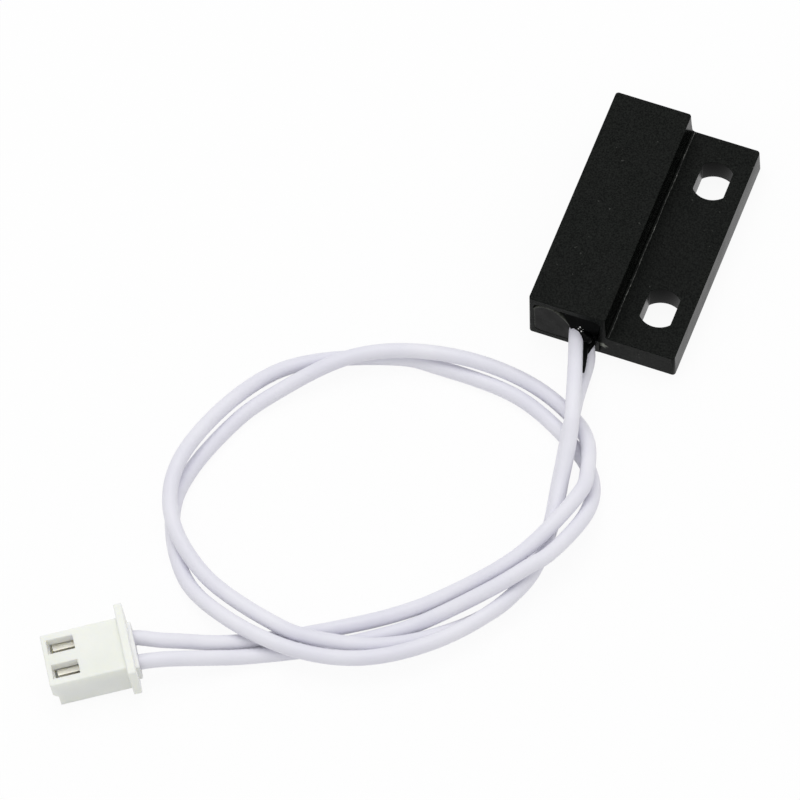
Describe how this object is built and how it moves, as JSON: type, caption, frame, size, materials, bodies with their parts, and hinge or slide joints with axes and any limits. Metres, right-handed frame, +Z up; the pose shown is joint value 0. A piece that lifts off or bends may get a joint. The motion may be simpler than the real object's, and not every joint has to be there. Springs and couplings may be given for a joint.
{
  "type": "reed sensor",
  "caption": "Flange-mount magnetic reed sensor: a black potted housing with slotted mounting holes on two loose wires that end in a crimp plug.",
  "frame": {"origin": "middle of the housing's underside, without the wires and plug", "axes": "+Z up out of the mounting surface, +Y along the housing away from the wires, +X from the raised block to the slotted flange"},
  "size_m": [0.0435, 0.0737, 0.0059],
  "materials": {
    "black_plastic": "matte, finely grained moulding",
    "black_epoxy": "glossy cast resin",
    "glass": "clear, faintly green",
    "reed_metal": "satin nickel-iron",
    "solder": "bright solder",
    "white_cover": "satin white with a faint violet cast",
    "tinned_copper": "tinned strand",
    "white_nylon": "satin off-white moulding",
    "tinned_brass": "tinned, bright"
  },
  "bodies": {
    "root": {"housing": "black_plastic", "potting_compound": "black_epoxy", "reed_glass": "glass", "reed_near": "reed_metal", "reed_far": "reed_metal", "solder_near": "solder", "solder_far": "solder", "wire_1_insulation": "white_cover", "wire_1_conductor": "tinned_copper", "wire_2_insulation": "white_cover", "wire_2_conductor": "tinned_copper", "plug_housing": "white_nylon", "contact_1": "tinned_brass", "contact_2": "tinned_brass"}
  },
  "joints": []
}
